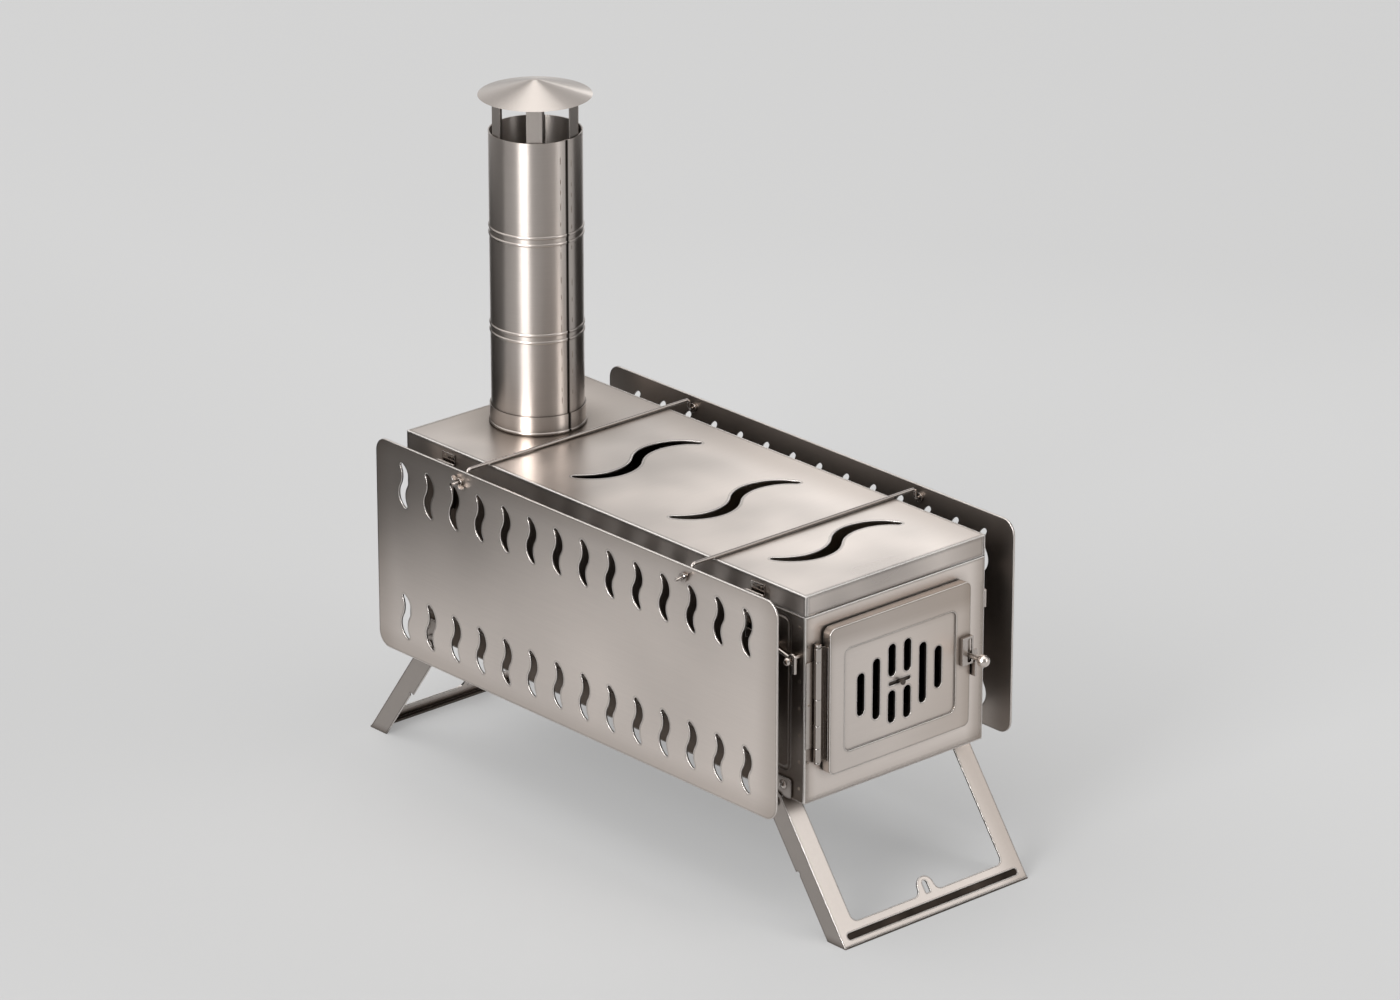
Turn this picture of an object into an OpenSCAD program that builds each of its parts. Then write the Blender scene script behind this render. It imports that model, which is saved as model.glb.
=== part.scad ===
// Portable sauna stove: a sheet-steel firebox with a slotted steam lid, two
// slotted side screens hung from cross rods, two folding leg frames, a door
// with a sliding air damper, and a sectional chimney with a rain cap.
// X runs across the stove, Y from the door (minus) to the chimney, Z is up.
// The origin is on the floor under the middle of the firebox.

/* [Firebox] */
// Outer width of the firebox
body_w = 200; // [190:1:220]
// Outer length of the firebox
body_l = 500; // [480:1:560]
// Height from the underside of the firebox to the top of the lid
body_h = 182; // [178:1:200]
// Height of the firebox underside above the floor
floor_gap = 110; // [105:1:125]
// Thickness of the firebox sheet
sheet_t = 1.2; // [1:0.1:1.4]
// Inset of the pressed line on the walls from the ends of the firebox
wall_line_inset = 17; // [15:1:22]
// Height of the pressed line's lower run above the firebox underside
wall_line_up = 23; // [20:1:30]
// Width of the pressed line
wall_line_w = 3; // [2:0.5:4]
// Depth of the pressed line
wall_line_d = 0.5; // [0.3:0.1:0.6]

/* [Lid] */
// Depth of the lid's folded flange
lid_flange = 18; // [16:1:20]
// Seam between the flange and the firebox wall
seam_gap = 0.6; // [0.4:0.1:1]
// Open slit at each unwelded corner of the flange
corner_slit = 0.8; // [0.5:0.1:1.2]
// Number of steam slots across the lid
steam_count = 3; // [1:1:3]
// Distance between steam slots
steam_pitch = 123; // [110:1:128]
// Place of the middle steam slot along the stove
steam_mid_y = -56; // [-62:1:-50]
// Half width of a steam slot at its centre
steam_half_w = 6.2; // [5:0.1:7]
// Outer bend radius of a steam slot
steam_r_out = 42; // [40:0.5:44]
// Inner bend radius of a steam slot
steam_r_in = 43; // [42:0.5:45]
// Tip radius of a steam slot
steam_r_tip = 3; // [2:0.1:3.5]

/* [Side screens] */
// Clear gap between the firebox wall and a screen
screen_gap = 31; // [29:0.5:34]
// Thickness of a screen
screen_t = 1.5; // [1:0.1:2]
// Length of a screen
screen_l = 504; // [496:1:510]
// Height of a screen
screen_h = 191; // [185:1:196]
// How far a screen stands above the lid
screen_over = 3; // [2:0.5:5]
// Corner radius of a screen
screen_r = 13; // [8:0.5:16]
// Heat slots in each row
heat_count = 14; // [10:1:14]
// Distance between heat slots
heat_pitch = 33.2; // [32:0.1:33.6]
// Distance between the two rows
heat_rows = 120; // [112:1:126]
// Half width of a heat slot at its centre
heat_half_w = 4.4; // [3.6:0.1:4.8]
// Outer bend radius of a heat slot
heat_r_out = 14; // [13.7:0.1:14.4]
// Inner bend radius of a heat slot
heat_r_in = 16.5; // [16:0.1:17]
// Tip radius of a heat slot
heat_r_tip = 2.2; // [1.8:0.1:2.4]

/* [Cross rods] */
// Rod diameter
rod_d = 3; // [2.8:0.1:3.6]
// Clear gap between the rear rod and the flue collar
rod_gap = 11.2; // [9:0.1:16]
// Height of the rod's screen holes under the screen's top edge
rod_hole_drop = 10; // [9.5:0.5:12]
// Bend radius at the rod's axis
rod_bend_r = 3.6; // [3:0.1:3.8]

/* [Door] */
// Distance from the firebox's left edge to the door
door_gap_left = 18; // [16:0.5:20]
// Distance from the door to the firebox's right edge
door_gap_right = 25; // [23:0.5:30]
// Door height
door_h = 128; // [124:1:130]
// Depth of the door's folded pan
door_d = 8; // [7.5:0.5:9]
// Door centre above the firebox underside
door_up = 87; // [85:1:89]
// Corner radius of the door
door_r = 6; // [4:0.5:8]
// Distance from the door's side edge to the pressed panel
press_side = 16.5; // [15:0.5:18]
// Height of the pressed panel in the door
press_h = 90; // [88:1:94]
// Drop of the pressed panel's centre below the door's centre
press_drop = 2.5; // [1:0.5:3]
// Depth of the pressed panel
press_d = 1.2; // [1:0.1:1.4]
// How far the door overlaps the firebox opening all round
door_overlap = 11; // [10:0.5:12]
// Most that the door opens
door_open = 115; // [90:5:120]

/* [Air damper] */
// Distance from the pressed panel's side edge to the outer vents
vent_side = 14.55; // [12:0.05:16]
// Width of a vent slot
vent_w = 8.4; // [7.6:0.1:8.4]
// Half lengths of the vent columns from the middle outwards
vent_half = [34.8, 26.8, 18.7];
// Solid bridge in the middle of the two longest columns
vent_bridge = 12.4; // [11:0.2:13]
// Width of the slot that guides the damper's pin
guide_w = 3.6; // [3.2:0.1:4]
// Thickness of the damper plate
damper_t = 1; // [0.8:0.1:1.2]

/* [Hinge] */
// Distance of the hinge axis from the firebox's left edge
hinge_inset = 10.5; // [10:0.5:11]
// Knuckle radius
knuckle_r = 3.3; // [3.1:0.1:3.5]
// Hinge pin radius
hinge_pin_r = 1.5; // [1.3:0.1:1.8]
// Heights of the knuckle joints above the firebox underside
knuckle_z = [36, 48.3, 68.5, 91.3, 124.2, 136];

/* [Door latch] */
// Width of the latch guide
latch_w = 12; // [11:0.5:13]
// Height of the latch guide
latch_h = 24.4; // [23:0.2:26]
// Latch guide's lower edge above the firebox underside
latch_z = 79.4; // [76:0.2:82]
// Height of the sliding bar
bar_h = 5; // [4.5:0.5:6]
// Thickness of the sliding bar
bar_t = 1.8; // [1.5:0.1:2]
// Depth of the keeper's notch
notch_d = 3.6; // [3:0.1:4]
// Diameter of the ball knob
ball_d = 11; // [10:0.5:13]
// Distance from the latch guide to the centre of the ball
ball_out = 17.5; // [16:0.5:19]

/* [Legs] */
// Splay of a leg frame from the vertical
leg_splay = 35.5; // [33:0.5:37]
// Distance of a leg pivot from the end of the firebox
pivot_inset = 30.6; // [28:0.2:34]
// Distance of a leg pivot below the firebox
pivot_drop = 5.6; // [5.4:0.1:6]
// Thickness of the leg sheet
leg_t = 1.5; // [1.2:0.1:1.8]
// Width of a leg's front strip
leg_strip = 18.5; // [17:0.5:22]
// Distance from the pivot to the outer face of the strip
leg_face = 8; // [7.8:0.1:8.4]
// Full width of a leg's side flange
leg_flange = 20; // [18:0.5:21]
// Step in the flange's free edge below the notch
leg_step = 2.5; // [2:0.5:3]
// Height of the crossbar along the leg
crossbar_h = 19.3; // [18:0.1:22]
// Width of the flat lip that stands on the floor
foot_lip = 8; // [6:0.5:9]

/* [Chimney] */
// Outer radius of the pipe
pipe_r = 40; // [38:0.5:41]
// Thickness of the pipe sheet
pipe_t = 1; // [0.8:0.1:1.2]
// Visible height of one pipe section
section_h = 87; // [80:1:120]
// Length of the reduced end that fits into the section below
spigot_h = 22; // [18:1:30]
// Distance of the chimney axis from the back of the firebox
pipe_inset = 55; // [54:0.5:57]
// Width of the open seam down the pipe
seam_w = 1.6; // [1:0.1:2]
// Radius of a stiffening bead
bead_r = 1.6; // [1.3:0.1:1.8]

/* [Rain cap] */
// Radius of the cap's rim
cap_r = 48.5; // [46:0.5:52]
// Height of the cap's cone
cap_h = 13; // [9:0.5:15]
// Gap between the chimney's rim and the cap's rim
cap_gap = 31; // [26:1:36]
// Number of flat straps
strap_count = 6; // [4:1:6]
// Width of a strap
strap_w = 13.3; // [11:0.1:13.5]
// Direction of the first strap
strap_turn = 48; // [45:1:50]

/* [Toggle latches] */
// Distance of a toggle latch from the end of the firebox
toggle_inset = 56; // [53:1:62]
// Width of a toggle latch
toggle_w = 16; // [14:0.5:18]
// Lever length
lever_l = 20; // [17:0.5:21]
// Wire radius of the bail
bail_r = 0.9; // [0.8:0.1:1]

/* [Hidden] */
// Overrun of every cut past the face it goes through
over = 1;
// Gap at a moving fit between flat faces
slip = 0.3;
// Radial clearance of a pin in its bore
pin_fit = 0.05;
$fn = 64;

steel = [0.66, 0.64, 0.61];
steel_bright = [0.80, 0.79, 0.77];
steel_dark = [0.42, 0.41, 0.40];

half_w = body_w / 2;
half_l = body_l / 2;
lid_z = floor_gap + body_h;
flange_z = lid_z - lid_flange;
seam_z = flange_z - seam_gap;
wall_in = half_w - sheet_t;
end_in = half_l - sheet_t;
lid_under = lid_z - sheet_t;
tray_drop = 42;
tray_z = lid_z - tray_drop;

// Helpers
module at_both_sides() for (s = [0, 1]) mirror([s, 0, 0]) children();
module at_both_ends() for (s = [0, 1]) mirror([0, s, 0]) children();

// Stands a flat outline up in the XZ plane at y, thickening towards the door
module stand_front(y, t) translate([0, y, 0]) rotate([90, 0, 0]) linear_extrude(t) children();

// Stands a flat outline up in the YZ plane at x, thickening towards plus X
module stand_side(x, t) translate([x, 0, 0]) rotate([90, 0, 90]) linear_extrude(t) children();

// Cylinder along X that starts at x
module rod_x(x, r, h) translate([x, 0, 0]) rotate([0, 90, 0]) cylinder(r = r, h = h);

module round_rect(w, h, r) {
    square([w - 2 * r, h], center = true);
    square([w, h - 2 * r], center = true);
    for (i = [-1, 1], j = [-1, 1])
        translate([i * (w / 2 - r), j * (h / 2 - r)]) circle(r);
}

module obround(w, h) {
    square([w, h - w], center = true);
    for (j = [-1, 1]) translate([0, j * (h - w) / 2]) circle(w / 2);
}

module tube(r_out, r_in, h) difference() {
    cylinder(r = r_out, h = h);
    translate([0, 0, -over]) cylinder(r = r_in, h = h + 2 * over);
}

// Wavy slot: two opposite crescents, each between an outer and an inner arc,
// meeting at the centre and ending in a round tip
wave_steps = 14;
tip_steps = 7;

function polar(r, a) = r * [cos(a), sin(a)];
function arc_points(c, r, from, to, steps) =
    [for (i = [0 : steps - 1]) c + polar(r, from + (to - from) * i / steps)];
function bearing(a, b) = atan2(b.y - a.y, b.x - a.x);

// Centre of the tip circle, which touches the outer arc from inside and the inner arc from outside
function tip_centre(a, b, ra, rb) =
    let (d = norm(b - a), e = (b - a) / d)
    let (along = (ra * ra - rb * rb + d * d) / (2 * d))
    a + along * e + sqrt(ra * ra - along * along) * [e.y, -e.x];

function half_wave(w, lean, r_out, r_in, r_tip) =
    let (a = [w - r_out * cos(lean), r_out * sin(lean)])
    let (b = [-w - r_in * cos(lean), r_in * sin(lean)])
    let (tip = tip_centre(a, b, r_out - r_tip, r_in + r_tip))
    concat(
        arc_points(a, r_out, -lean, bearing(a, tip), wave_steps),
        arc_points(tip, r_tip, bearing(a, tip), bearing(b, tip) + 180, tip_steps),
        arc_points(b, r_in, bearing(b, tip), -lean, wave_steps)
    );

module wave_slot(w, lean, r_out, r_in, r_tip) {
    half = half_wave(w, lean, r_out, r_in, r_tip);
    polygon(concat(half, -half));
}

// Firebox
wall_line_drop = 4;
wall_line_h = seam_z - floor_gap - wall_line_up - wall_line_drop;
wall_line_z = floor_gap + wall_line_up + wall_line_h / 2;
wall_line_r = 8;

module pressed_line(w, h) difference() {
    round_rect(w, h, wall_line_r);
    round_rect(w - 2 * wall_line_w, h - 2 * wall_line_w, wall_line_r - wall_line_w);
}

// The sheet folded into the floor and the two side walls
module body_shell() color(steel) difference() {
    union() {
        translate([-half_w, -end_in, floor_gap]) cube([body_w, 2 * end_in, sheet_t]);
        at_both_sides() translate([wall_in, -end_in, floor_gap])
            cube([sheet_t, 2 * end_in, seam_z - floor_gap]);
    }
    at_both_sides() stand_side(half_w - wall_line_d, over)
        translate([0, wall_line_z]) pressed_line(body_l - 2 * wall_line_inset, wall_line_h);
    at_both_ends() at_both_sides() ear_bolt_place() rod_x(-2 * over, ear_bolt_r, 4 * over);
}

// Front frame around the door opening, with a raised sealing lip
door_w = body_w - door_gap_left - door_gap_right;
open_w = door_w - 2 * door_overlap;
open_h = door_h - 2 * door_overlap;
open_r = 5;
lip_h = 4;
door_x = (door_gap_left - door_gap_right) / 2;
door_z = floor_gap + door_up;
weld_flange = 12;

module end_plate(y_in) {
    h = seam_z - floor_gap;
    translate([0, 0, floor_gap + h / 2]) stand_front(y_in, sheet_t) square([body_w, h], center = true);
}

module weld_flanges() {
    at_both_sides() translate([wall_in - sheet_t, -end_in, floor_gap + sheet_t])
        cube([sheet_t, weld_flange, tray_z - floor_gap - sheet_t]);
    translate([-wall_in, -end_in, floor_gap + sheet_t]) cube([2 * wall_in, weld_flange, sheet_t]);
}

module front_frame() color(steel) {
    difference() {
        union() {
            end_plate(-end_in);
            translate([door_x, 0, door_z]) stand_front(-half_l, lip_h)
                round_rect(open_w + 2 * sheet_t, open_h + 2 * sheet_t, open_r + sheet_t);
        }
        translate([door_x, 0, door_z]) stand_front(-end_in + over, lip_h + sheet_t + 2 * over)
            round_rect(open_w, open_h, open_r);
    }
    weld_flanges();
}

module back_plate() color(steel) mirror([0, 1, 0]) {
    difference() {
        end_plate(-end_in);
        translate([0, 0, wall_line_z]) stand_front(-half_l + wall_line_d, over)
            pressed_line(body_w - 2 * wall_line_inset, wall_line_h);
    }
    weld_flanges();
}

// Lid and the steam tray under it
pipe_y = half_l - pipe_inset;
spigot_r = pipe_r - pipe_t - slip;
flue_hole_r = spigot_r + slip;
collar_r = pipe_r + slip + pipe_t;
steam_lean = 45;

module lid() color(steel_bright) difference() {
    translate([-half_w, -half_l, flange_z]) cube([body_w, body_l, lid_flange]);
    translate([-wall_in, -end_in, flange_z - over])
        cube([2 * wall_in, 2 * end_in, lid_flange - sheet_t + over]);
    at_both_ends() at_both_sides() translate([wall_in - corner_slit, -half_l - over, flange_z - over])
        cube([corner_slit, sheet_t + 2 * over, lid_flange - sheet_t + over]);
    translate([0, pipe_y, lid_under - over]) cylinder(r = flue_hole_r, h = sheet_t + 2 * over);
    for (i = [0 : steam_count - 1])
        translate([0, steam_mid_y + (i - (steam_count - 1) / 2) * steam_pitch, lid_under - over])
            mirror([0, 1, 0]) rotate(-90) linear_extrude(sheet_t + 2 * over)
                wave_slot(steam_half_w, steam_lean, steam_r_out, steam_r_in, steam_r_tip);
}

// Pan that catches the water, whose wall locates the lid from inside
tray_rim_h = 14;
module steam_tray() color(steel_dark) {
    x = wall_in - slip;
    y = end_in - slip;
    difference() {
        translate([-x, -y, tray_z]) cube([2 * x, 2 * y, lid_under - tray_z]);
        translate([-x + sheet_t, -y + sheet_t, tray_z + sheet_t])
            cube([2 * (x - sheet_t), 2 * (y - sheet_t), lid_under - tray_z]);
        translate([0, pipe_y, tray_z - over]) cylinder(r = flue_hole_r, h = sheet_t + 2 * over);
    }
    translate([0, pipe_y, tray_z]) tube(flue_hole_r + sheet_t, flue_hole_r, tray_rim_h);
}

// Loose grate that holds the fire above the floor
grate_inset = 14;
grate_gap = 20;
grate_h = 10;
grate_slot_w = 6;
grate_slot_pitch = 18;
grate_slot_share = 2 / 3;
grate_edge = 9.5;
grate_rows = 3;
module fire_grate() color(steel_dark) {
    x = half_w - grate_inset;
    y = half_l - grate_gap;
    z = floor_gap + sheet_t;
    cols = floor(2 * (y - grate_gap) / grate_slot_pitch);
    row_w = 2 * (x - grate_edge) / grate_rows;
    difference() {
        translate([-x, -y, z]) cube([2 * x, 2 * y, grate_h]);
        translate([-x + sheet_t, -y - over, z - over])
            cube([2 * (x - sheet_t), 2 * (y + over), grate_h - sheet_t + over]);
        for (i = [0 : cols - 1], j = [0 : grate_rows - 1])
            translate([(j - (grate_rows - 1) / 2) * row_w, (i - (cols - 1) / 2) * grate_slot_pitch, z])
                rotate(90) linear_extrude(grate_h + over)
                    obround(grate_slot_w, grate_slot_share * row_w);
    }
}

// Side screens and cross rods
screen_in = half_w + screen_gap;
screen_top = lid_z + screen_over;
screen_mid = screen_top - screen_h / 2;
heat_lean = 32;
rod_r = rod_d / 2;
rod_y = pipe_y - collar_r - rod_gap - rod_r;
rod_hole_z = screen_top - rod_hole_drop;
rod_top_z = lid_z + rod_r + slip;
nut_t = 2.4;
rod_bend_x = screen_in - nut_t - slip - 2 * rod_bend_r;
rod_end = 10;

module screen() difference() {
    stand_side(screen_in, screen_t)
        translate([0, screen_mid]) round_rect(screen_l, screen_h, screen_r);
    for (i = [0 : heat_count - 1], j = [-1, 1])
        stand_side(screen_in - over, screen_t + 2 * over)
            translate([(i - (heat_count - 1) / 2) * heat_pitch, screen_mid + j * heat_rows / 2])
                wave_slot(heat_half_w, heat_lean, heat_r_out, heat_r_in, heat_r_tip);
    at_both_ends() translate([0, rod_y, rod_hole_z])
        rod_x(screen_in - over, rod_r + pin_fit, screen_t + 2 * over);
}

module side_screen_right() color(steel) screen();
module side_screen_left() color(steel) rotate(180) screen();

// One quarter bend of the rod, from plus X round to minus Z
module rod_bend() rotate([90, 0, 0]) rotate_extrude(angle = 90, $fn = 96)
    translate([rod_bend_r, 0]) circle(rod_r, $fn = 24);

module cross_rod() color(steel_bright) {
    rod_x(-rod_bend_x, rod_r, 2 * rod_bend_x, $fn = 24);
    at_both_sides() translate([rod_bend_x, 0, 0]) {
        translate([0, 0, -rod_bend_r]) rod_bend();
        drop = rod_top_z - rod_hole_z - 2 * rod_bend_r;
        translate([rod_bend_r, 0, -rod_bend_r - drop]) cylinder(r = rod_r, h = drop, $fn = 24);
        translate([2 * rod_bend_r, 0, -rod_bend_r - drop]) rotate([0, 180, 0]) rod_bend();
        translate([0, 0, rod_hole_z - rod_top_z])
            rod_x(2 * rod_bend_r, rod_r, screen_in + screen_t + rod_end - rod_bend_x - 2 * rod_bend_r);
    }
}

module cross_rod_front() translate([0, -rod_y, rod_top_z]) cross_rod();
module cross_rod_rear() translate([0, rod_y, rod_top_z]) cross_rod();

nut_r = 4;
wing_r = 2.7;
wing_t = 1.2;
wing_reach = 5;
wing_rise = wing_r + slip;
wing_turn = 35;

module place_nuts() at_both_sides() at_both_ends() translate([0, rod_y, rod_hole_z]) children();

// Round stop nuts inside the screens
module rod_stop_nuts() color(steel_bright) place_nuts() difference() {
    rod_x(screen_in - nut_t, nut_r, nut_t);
    rod_x(screen_in - nut_t - over, rod_r, nut_t + 2 * over);
}

// Wing nuts outside the screens
module wing_nuts() color(steel_bright) place_nuts() difference() {
    union() {
        rod_x(screen_in + screen_t, nut_r, nut_t);
        rotate([wing_turn, 0, 0]) for (j = [-1, 1])
            translate([screen_in + screen_t + wing_rise, j * wing_reach, wing_t / 2])
                mirror([0, 0, 1]) cylinder(r = wing_r, h = wing_t);
    }
    rod_x(screen_in + screen_t - over, rod_r, nut_t + rod_end);
}

// Door
door_gap = 2;
door_back = -half_l - door_gap;
door_front = door_back - door_d;
press_w = door_w - 2 * press_side;
press_z = -press_drop;
vent_cols = len(vent_half);
vent_top = vent_half[0];
vent_pitch = (press_w - 2 * vent_side - vent_w) / (2 * vent_cols - 1);
damper_rest = 6.6;
damper_travel = vent_pitch - damper_rest;
pin_r = 1.3;
pin_head_r = 2.4;
pin_head_t = 1.2;
guide_l = 2 * (damper_travel + pin_r + slip);
press_back = door_front + press_d + sheet_t;
damper_y = press_back + slip + damper_t;
damper_w = (2 * vent_cols - 1) * vent_pitch + vent_w + 8 * sheet_t;
damper_h = 2 * vent_top + 7 * sheet_t;
rail_w = 6;
rail_lap = 2.4;

module place_door() translate([door_x, 0, door_z]) children();

// The six columns of vents; the two middle ones are split by a bridge
module vents() for (i = [0 : vent_cols - 1], s = [-1, 1]) translate([s * (i + 0.5) * vent_pitch, 0]) {
    h = vent_half[i];
    if (i == 0) for (j = [-1, 1])
        translate([0, j * (h + vent_bridge / 2) / 2]) obround(vent_w, h - vent_bridge / 2);
    else obround(vent_w, 2 * h);
}

module door() color(steel) place_door() difference() {
    union() {
        difference() {
            stand_front(door_back, door_d) round_rect(door_w, door_h, door_r);
            stand_front(door_back + over, door_d - sheet_t + over)
                round_rect(door_w - 2 * sheet_t, door_h - 2 * sheet_t, door_r - sheet_t);
        }
        translate([0, 0, press_z]) stand_front(press_back, press_d)
            round_rect(press_w + 2 * sheet_t, press_h + 2 * sheet_t, door_r + sheet_t);
    }
    translate([0, 0, press_z]) stand_front(door_front + press_d, press_d + over)
        round_rect(press_w, press_h, door_r);
    translate([0, 0, press_z]) stand_front(press_back + over, sheet_t + press_d + 2 * over) {
        vents();
        rotate(90) obround(guide_w, guide_l);
    }
}

// Two strips inside the door that carry the damper
module damper_rails() color(steel_dark) place_door() translate([0, 0, press_z]) for (j = [0, 1])
    mirror([0, 0, j]) {
        w = press_w - 2 * sheet_t;
        z = damper_h / 2 + slip;
        translate([-w / 2, press_back, z]) cube([w, damper_t + 2 * slip, rail_w - rail_lap]);
        translate([-w / 2, press_back + damper_t + 2 * slip, z - rail_lap])
            cube([w, sheet_t / 2, rail_w]);
    }

// Sliding plate with the same vents and a pin through the guide slot
module air_damper() color(steel_dark) place_door() translate([0, 0, press_z]) {
    difference() {
        stand_front(damper_y, damper_t) square([damper_w, damper_h], center = true);
        stand_front(damper_y + over, damper_t + 2 * over) vents();
    }
    pin_l = press_d + sheet_t + slip + 2 * press_d;
    stand_front(damper_y - damper_t, pin_l) circle(pin_r);
    stand_front(damper_y - damper_t - pin_l, pin_head_t) circle(pin_head_r);
}

// Hinge
hinge_x = -half_w + hinge_inset;
hinge_y = -half_l - knuckle_r - slip;
door_left = door_x - door_w / 2;
leaf_t = 1.2;
knuckle_last = len(knuckle_z) - 1;

// Lower end of knuckle i, and the length from knuckle i up to joint j, less the gaps between knuckles
function knuckle_low(i) = floor_gap + knuckle_z[i] + slip / 2;
function knuckle_len(i, j) = knuckle_z[j] - knuckle_z[i] - slip;

module knuckle(i) translate([hinge_x, hinge_y, knuckle_low(i)])
    cylinder(r = knuckle_r, h = knuckle_len(i, i + 1));

module hinge_bore() translate([hinge_x, hinge_y, floor_gap])
    cylinder(r = hinge_pin_r + pin_fit, h = body_h);

module hinge_body_leaf() color(steel_bright) difference() {
    union() {
        for (i = [1, 3]) knuckle(i);
        for (i = [1, 3]) translate([-half_w + slip, -half_l - leaf_t, knuckle_low(i)])
            cube([hinge_x + half_w - slip, leaf_t, knuckle_len(i, i + 1)]);
        translate([-half_w + slip, -half_l - leaf_t, knuckle_low(1)])
            cube([hinge_inset - knuckle_r - 2 * slip, leaf_t, knuckle_len(1, 4)]);
    }
    hinge_bore();
}

module hinge_door_leaf() color(steel_bright) difference() {
    union() {
        for (i = [0, 2, 4]) {
            knuckle(i);
            translate([hinge_x, hinge_y - leaf_t / 2, knuckle_low(i)])
                cube([door_left - hinge_x, leaf_t, knuckle_len(i, i + 1)]);
        }
        translate([hinge_x + knuckle_r + slip, hinge_y - leaf_t / 2, knuckle_low(0)])
            cube([door_left - hinge_x - knuckle_r - slip, leaf_t, knuckle_len(0, knuckle_last)]);
        translate([door_left - leaf_t, door_front + leaf_t, knuckle_low(0)])
            cube([leaf_t, door_d - 2 * leaf_t, knuckle_len(0, knuckle_last)]);
    }
    hinge_bore();
}

hinge_head_r = 2.7;
hinge_head_h = 2.6;
module hinge_pin() color(steel_bright) translate([hinge_x, hinge_y, floor_gap]) {
    low = knuckle_z[0] - slip;
    high = knuckle_z[knuckle_last] + slip;
    translate([0, 0, low]) cylinder(r = hinge_pin_r, h = high - low);
    translate([0, 0, high]) cylinder(r = hinge_head_r, h = hinge_head_h);
    translate([0, 0, low - hinge_head_h / 2]) cylinder(r = hinge_head_r, h = hinge_head_h / 2);
}

// Door latch
door_right = door_x + door_w / 2;
guide_t = 1.2;
guide_z = floor_gap + latch_z;
bar_play = 0.4;
guide_in = door_front - bar_t - 2 * bar_play;
bar_y = door_front - bar_play;
bar_low = guide_z + guide_t + bar_h / 2;
bar_rest = bar_low + notch_d + 2 * slip;
bar_high = guide_z + latch_h - guide_t - bar_h / 2;
stem_r = 2.1;
stem_right = 2;
stem_x = door_right - latch_w / 2 + stem_right;
keeper_off = 1.2;
keeper_x = door_right + keeper_off;
keeper_t = 1.5;
bar_past = 3.5;
bar_end = keeper_x + keeper_t + bar_past;

// Guide on the door face, open towards the keeper
module latch_guide() color(steel_bright) difference() {
    translate([door_right - latch_w, guide_in - guide_t, guide_z])
        cube([latch_w, bar_t + 2 * bar_play + guide_t, latch_h]);
    translate([door_right - latch_w + guide_t, guide_in, guide_z + guide_t])
        cube([latch_w, bar_t + 2 * bar_play + over, latch_h - 2 * guide_t]);
    translate([stem_x, guide_in + over, (bar_low + bar_high) / 2]) rotate([90, 0, 0])
        linear_extrude(guide_t + 2 * over)
            obround(2 * (stem_r + slip), bar_high - bar_low + 2 * (stem_r + slip));
}

module latch_bar() color(steel_bright) {
    x = door_right - latch_w + guide_t + slip;
    translate([x, bar_y - bar_t, bar_rest - bar_h / 2]) cube([bar_end - x, bar_t, bar_h]);
    translate([stem_x, bar_y - bar_t, bar_rest]) rotate([90, 0, 0]) cylinder(r = stem_r, h = ball_out);
}

module latch_ball() color(steel_bright) translate([stem_x, bar_y - bar_t - ball_out, bar_rest])
    difference() {
        sphere(d = ball_d);
        rotate([-90, 0, 0]) cylinder(r = stem_r, h = ball_d);
    }

// Keeper on the front frame: a standing arm with a notch for the bar
keeper_drop = 18;
keeper_base_w = 6;
keeper_lip = 2;
module latch_keeper() color(steel_bright) {
    top = bar_low - bar_h / 2 - slip + notch_d;
    low = guide_z - keeper_drop;
    y_far = guide_in - slip - keeper_lip;
    arm_low = low + keeper_drop / 3;
    difference() {
        translate([keeper_x, y_far, arm_low]) cube([keeper_t, -half_l - y_far, top - arm_low]);
        translate([keeper_x - over, guide_in - slip, top - notch_d])
            cube([keeper_t + 2 * over, bar_t + 2 * bar_play + 2 * slip, notch_d + over]);
    }
    translate([keeper_x, -half_l - keeper_t, low]) cube([keeper_base_w, keeper_t, top - low]);
}

// Leg frames
pivot_y = half_l - pivot_inset;
pivot_z = floor_gap - pivot_drop;
ear_t = 1.5;
ear_out = half_w + ear_t;
leg_in = ear_out + slip;
leg_out = leg_in + leg_t;
leg_top = (pivot_drop - slip - leg_face * sin(leg_splay)) / cos(leg_splay);
leg_bottom = (pivot_z + leg_face * sin(leg_splay)) / cos(leg_splay);
pivot_r = 2.5;
pivot_head_r = 4;
pivot_head_t = 1.2;
ear_r = 6;
ear_neck = 3.8;
ear_w = 22;
ear_h = 17;
ear_bolt_r = 2;
ear_bolt_y = 6.6;
ear_bolt_z = 16.2;
dome_r = 4.3;
dome_h = 2.6;

// Puts children at a front pivot; the pivot axis is their X axis
module front_pivot() translate([0, -pivot_y, pivot_z]) children();

// Centre of the bolt that holds an ear, on the outer face of the right wall
module ear_bolt_place() front_pivot() translate([half_w, -ear_bolt_y, ear_bolt_z]) children();

module ear() front_pivot() difference() {
    stand_side(half_w, ear_t) {
        circle(ear_r);
        translate([-ear_neck, 0]) square([ear_neck + ear_r, pivot_drop + over]);
        translate([ear_r - ear_w / 2, pivot_drop + slip + ear_h / 2]) round_rect(ear_w, ear_h, ear_r / 2);
    }
    rod_x(half_w - over, pivot_r, ear_t + 2 * over);
    translate([0, -ear_bolt_y, ear_bolt_z]) rod_x(half_w - over, ear_bolt_r, ear_t + 2 * over);
}

module leg_ears() color(steel_bright) at_both_ends() at_both_sides() ear();

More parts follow.
